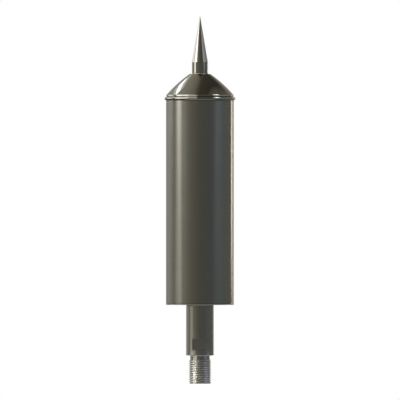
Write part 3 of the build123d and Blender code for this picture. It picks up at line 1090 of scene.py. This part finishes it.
def lamp(name, start, end, width, radiance, tint, aim=lit_height):
    """A soft strip that faces the part, between two places: the azimuth, distance and height of each."""
    low = place_in_studio(*start)
    high = place_in_studio(*end)
    middle = (low + high) / 2
    along = (high - low).normalized()
    away = middle - Vector((0, 0, aim))
    away = (away - along * away.dot(along)).normalized()
    data = bpy.data.lights.new(name, "AREA")
    data.shape = "RECTANGLE"
    data.size = width
    data.size_y = (high - low).length
    data.energy = radiance * data.size * data.size_y * lamp_power
    data.color = linear(tint)[:3]
    item = bpy.data.objects.new(name, data)
    bpy.context.scene.collection.objects.link(item)
    turned = Matrix((along.cross(away), along, away)).transposed()
    item.matrix_world = Matrix.Translation(middle) @ turned.to_4x4()
    item.visible_camera = False


# The long light down the tube's left side, with a brighter core, a knot at the collar and a dimmer foot.
lamp("left strip", (-76, 1.6, 0.248), (-76, 1.6, 0.54), 0.62, 0.8, "#fffdf8")
lamp("left strip core", (-75.6, 1.62, 0.248), (-75.6, 1.62, 0.54), 0.3, 0.5, "#fffdf8")
lamp("left strip knot", (-75, 1.61, 0.264), (-75, 1.61, 0.29), 0.36, 1.15, "#ffffff")
lamp("left strip foot", (-79, 1.6, 0.11), (-77, 1.6, 0.248), 0.66, 0.19, "#fffaf0")
lamp("left strip base", (-78.5, 1.6, -0.2), (-78, 1.6, 0.11), 0.82, 0.15, "#fffaf0")
# Two small cards close by, for the lights on the thread.
lamp(
    "low left card", (-62, 0.158, -0.0245), (-62, 0.144, -0.0165), 0.11, 12.2, "#fffdf8", aim=-0.02
)
lamp("low right card", (70, 0.15, -0.024), (70, 0.15, -0.0145), 0.06, 2.7, "#b8ccff")
# Boxes further up on the left, for the cap's flank and the left edges.
lamp("left softbox", (-70, 1.5, 0.5), (-70, 0.95, 1.3), 1.1, 1.85, "#ffffff")
lamp("left side box", (-124, 1.6, 0.36), (-122, 1.6, 0.95), 1.0, 1.2, "#f6f9ff")
# The pale line down the tube's right edge, and the faint lights inside it.
lamp("right kicker", (136.5, 1.6, 0.07), (136.5, 1.6, 0.3), 0.14, 2.75, "#fbf3de")
lamp("right strip", (66, 1.6, 0.265), (66, 1.6, 0.8), 0.8, 0.08, "#dbe5f7")
lamp("right strip knot", (64, 1.6, 0.264), (64, 1.6, 0.3), 0.5, 0.2, "#dbe5f7")
# High up, for the curved streak on the cap's left flank and the short lights on its shoulder.
lamp("overhead strip", (-152.5, 1.205, 1.035), (-126.5, 1.04, 1.29), 0.12, 2.1, "#f6f7ff")
lamp("overhead strip edge", (-154, 1.2, 1.05), (-124, 1.02, 1.31), 0.33, 0.4, "#f6f7ff")
lamp("right window", (79, 1.1, 1.26), (79, 0.75, 1.5), 0.34, 6.4, "#dfe6ff")
lamp("front window", (-32, 1.3, 0.864), (-32, 1.0, 1.13), 0.9, 2.1, "#ffffff")

world = bpy.data.worlds.new("studio")
bpy.context.scene.world = world
world.use_nodes = True
room = world.node_tree
room.nodes.clear()


def tones(value, stops):
    """A row of tones along a value, from the first stop to the last; a stop is a place and its tone."""
    low = stops[0][0]
    high = stops[-1][0]
    place = add(room, "ShaderNodeMapRange", {"Value": value, "From Min": low, "From Max": high})
    ramp = add(room, "ShaderNodeValToRGB", {0: place.outputs[0]})
    for _ in stops[1:-1]:
        ramp.color_ramp.elements.new(0.5)
    for element, (at, tone) in zip(ramp.color_ramp.elements, stops):
        element.position = (at - low) / (high - low)
        element.color = (*tone, 1.0)
    return ramp.outputs[0]


way = add(room, "ShaderNodeTexCoord").outputs["Generated"]
lined_up = add(
    room, "ShaderNodeVectorRotate", {"Vector": way, "Angle": view_turn}, rotation_type="Z_AXIS"
)
aim = add(room, "ShaderNodeSeparateXYZ", {0: lined_up.outputs[0]})
aim_right, aim_back, aim_up = aim.outputs


def pass_over(lower, upper, start, end):
    """Goes softly from lower tones to upper ones as a direction's height rises from start to end."""
    risen = add(
        room,
        "ShaderNodeMapRange",
        {"Value": aim_up, "From Min": start, "From Max": end},
        interpolation_type="SMOOTHSTEP",
    )
    mixed = add(
        room,
        "ShaderNodeMix",
        {"Factor": risen.outputs[0], "A": lower, "B": upper},
        data_type="RGBA",
    )
    return mixed.outputs["Result"]


# The room's light levels by azimuth in degrees, as the lamps have it: low down, at eye level and above.
BELOW = (
    (-180, (0.12, 0.12, 0.11)),
    (-100, (0.15, 0.145, 0.13)),
    (-60, (0.16, 0.155, 0.135)),
    (-28, (0.12, 0.117, 0.1)),
    (0, (0.1, 0.098, 0.085)),
    (45, (0.1, 0.105, 0.1)),
    (75, (0.12, 0.13, 0.125)),
    (120, (0.15, 0.15, 0.13)),
    (180, (0.25, 0.25, 0.23)),
)
EYE_LEVEL = (
    (-180, (0.42, 0.415, 0.39)),
    (-152, (0.45, 0.44, 0.41)),
    (-128, (0.6, 0.59, 0.54)),
    (-112, (0.4, 0.39, 0.35)),
    (-100, (0.29, 0.28, 0.25)),
    (-58, (0.32, 0.31, 0.268)),
    (-45, (0.25, 0.24, 0.2)),
    (-28, (0.19, 0.18, 0.15)),
    (0, (0.14, 0.138, 0.122)),
    (20, (0.132, 0.144, 0.148)),
    (42, (0.123, 0.137, 0.152)),
    (60, (0.109, 0.136, 0.158)),
    (90, (0.13, 0.155, 0.165)),
    (108, (0.165, 0.16, 0.14)),
    (125, (0.16, 0.145, 0.115)),
    (180, (0.3, 0.29, 0.26)),
)
ABOVE = (
    (-180, (0.4, 0.4, 0.37)),
    (-150, (0.44, 0.44, 0.41)),
    (-138, (0.45, 0.44, 0.41)),
    (-60, (0.45, 0.44, 0.41)),
    (-42, (0.33, 0.32, 0.29)),
    (-24, (0.2, 0.19, 0.17)),
    (0, (0.14, 0.135, 0.12)),
    (44, (0.08, 0.08, 0.08)),
    (53, (0.5, 0.56, 0.62)),
    (80, (0.4, 0.44, 0.47)),
    (108, (0.4, 0.41, 0.4)),
    (128, (0.27, 0.26, 0.24)),
    (180, (0.32, 0.31, 0.28)),
)
# The ceiling's tones run slantwise: a bright side on the left and behind, a dark middle, and a dim side on
# the right and in front.
CEILING = (
    (-0.6, (0.39, 0.38, 0.32)),
    (-0.2, (0.25, 0.23, 0.19)),
    (0, (0.08, 0.07, 0.055)),
    (0.28, (0.055, 0.05, 0.045)),
    (0.36, (0.14, 0.13, 0.1)),
)
CEILING_SLANT = -0.45
CEILING_BACK = 0.4
# The heights between which each row of tones gives way to the next.
EYE_EDGE = (-0.08, 0.03)
WALL_EDGE = (0.08, 0.19)
CEILING_EDGE = (0.38, 0.68)
front = add(room, "ShaderNodeMath", {0: aim_back, 1: -1.0}, operation="MULTIPLY")
turn = add(room, "ShaderNodeMath", {0: aim_right, 1: front.outputs[0]}, operation="ARCTAN2")
azimuth = add(room, "ShaderNodeMath", {0: turn.outputs[0]}, operation="DEGREES").outputs[0]
back = add(room, "ShaderNodeMath", {0: aim_back, 1: CEILING_BACK}, operation="MINIMUM")
slanted = add(
    room,
    "ShaderNodeMath",
    {0: back.outputs[0], 1: CEILING_SLANT, 2: aim_right},
    operation="MULTIPLY_ADD",
)
lower = pass_over(tones(azimuth, BELOW), tones(azimuth, EYE_LEVEL), *EYE_EDGE)
walls = pass_over(lower, tones(azimuth, ABOVE), *WALL_EDGE)
studio = pass_over(walls, tones(slanted.outputs[0], CEILING), *CEILING_EDGE)

# How much of the white sweep the metal shows by azimuth. It stands behind on the right, from the floor up
# to a low top edge.
SWEEP = (
    (0, (0.0, 0.0, 0.0)),
    (139, (0.0, 0.0, 0.0)),
    (143, (0.42, 0.42, 0.42)),
    (165, (0.55, 0.55, 0.55)),
    (180, (0.45, 0.45, 0.45)),
)
SWEEP_FOOT = {"From Min": -0.07, "From Max": -0.02}
SWEEP_TOP = {"From Min": 0.3, "From Max": 0.05}
over_floor = add(
    room,
    "ShaderNodeMapRange",
    {"Value": aim_up, **SWEEP_FOOT},
    interpolation_type="SMOOTHSTEP",
)
under_top = add(room, "ShaderNodeMapRange", {"Value": aim_up, **SWEEP_TOP})
sweep_height = add(
    room,
    "ShaderNodeMath",
    {0: over_floor.outputs[0], 1: under_top.outputs[0]},
    operation="MULTIPLY",
)
sweep = add(
    room,
    "ShaderNodeMath",
    {0: tones(azimuth, SWEEP), 1: sweep_height.outputs[0]},
    operation="MULTIPLY",
)

# The camera sees plain white, metal sees the room with the sweep in it, and matt surfaces get an even
# light.
WHITE = (1.0, 1.0, 1.0, 1.0)
EVEN_LIGHT = (0.55, 0.55, 0.55, 1.0)
ray = add(room, "ShaderNodeLightPath").outputs
mirrored = add(
    room,
    "ShaderNodeMath",
    {0: ray["Is Glossy Ray"], 1: ray["Is Transmission Ray"]},
    operation="MAXIMUM",
)
in_sweep = add(
    room, "ShaderNodeMath", {0: mirrored.outputs[0], 1: sweep.outputs[0]}, operation="MULTIPLY"
)
white = add(
    room, "ShaderNodeMath", {0: ray["Is Camera Ray"], 1: in_sweep.outputs[0]}, operation="MAXIMUM"
)
seen = add(
    room,
    "ShaderNodeMix",
    {"Factor": white.outputs[0], "A": studio, "B": WHITE},
    data_type="RGBA",
)
lit = add(
    room,
    "ShaderNodeMix",
    {"Factor": ray["Is Diffuse Ray"], "A": seen.outputs["Result"], "B": EVEN_LIGHT},
    data_type="RGBA",
)
backdrop = add(room, "ShaderNodeBackground", {"Color": lit.outputs["Result"], "Strength": 1.0})
add(room, "ShaderNodeOutputWorld", {"Surface": backdrop.outputs[0]})

# Floor
# A round of pale matt card that the stud stands on, and that keeps the part's shadow. It glows up to the
# backdrop's white for the camera, and for the metal where the card lies behind the part.

floor_r = 0.13
floor_corners = 96
floor_level = -stud_length * MM
card_colour = "#c8c8c6"
glow_strength = 0.57
glow_edge = {"From Min": 0.02, "From Max": 0.1}
floor_mesh = bpy.data.meshes.new("floor")
rim = [radians(360 * step / floor_corners) for step in range(floor_corners)]
floor_mesh.from_pydata(
    [(floor_r * cos(angle), floor_r * sin(angle), floor_level) for angle in rim],
    [],
    [tuple(range(floor_corners))],
)
floor = bpy.data.objects.new("floor", floor_mesh)
bpy.context.scene.collection.objects.link(floor)
# Pale card is matt and even, so that only the part's soft shadow shows on it.
card = bpy.data.materials.new("pale card")
card.use_nodes = True
paper = card.node_tree
paper.nodes.clear()
diffuse = add(paper, "ShaderNodeBsdfDiffuse", {"Color": linear(card_colour)})
glow = add(paper, "ShaderNodeEmission", {"Color": WHITE, "Strength": glow_strength})
both = add(paper, "ShaderNodeAddShader", {0: diffuse.outputs[0], 1: glow.outputs[0]})
path = add(paper, "ShaderNodeLightPath").outputs
in_metal = add(
    paper,
    "ShaderNodeMath",
    {0: path["Is Glossy Ray"], 1: path["Is Transmission Ray"]},
    operation="MAXIMUM",
)
spot = add(paper, "ShaderNodeTexCoord").outputs["Object"]
depth = add(paper, "ShaderNodeSeparateXYZ", {0: spot}).outputs[1]
behind = add(paper, "ShaderNodeMapRange", {"Value": depth, **glow_edge})
glow_in_metal = add(
    paper, "ShaderNodeMath", {0: in_metal.outputs[0], 1: behind.outputs[0]}, operation="MULTIPLY"
)
glows = add(
    paper,
    "ShaderNodeMath",
    {0: path["Is Camera Ray"], 1: glow_in_metal.outputs[0]},
    operation="MAXIMUM",
)
shown = add(
    paper,
    "ShaderNodeMixShader",
    {0: glows.outputs[0], 1: diffuse.outputs[0], 2: both.outputs[0]},
)
add(paper, "ShaderNodeOutputMaterial", {"Surface": shown.outputs[0]})
floor_mesh.materials.append(card)

bpy.context.scene.view_settings.view_transform = "Standard"
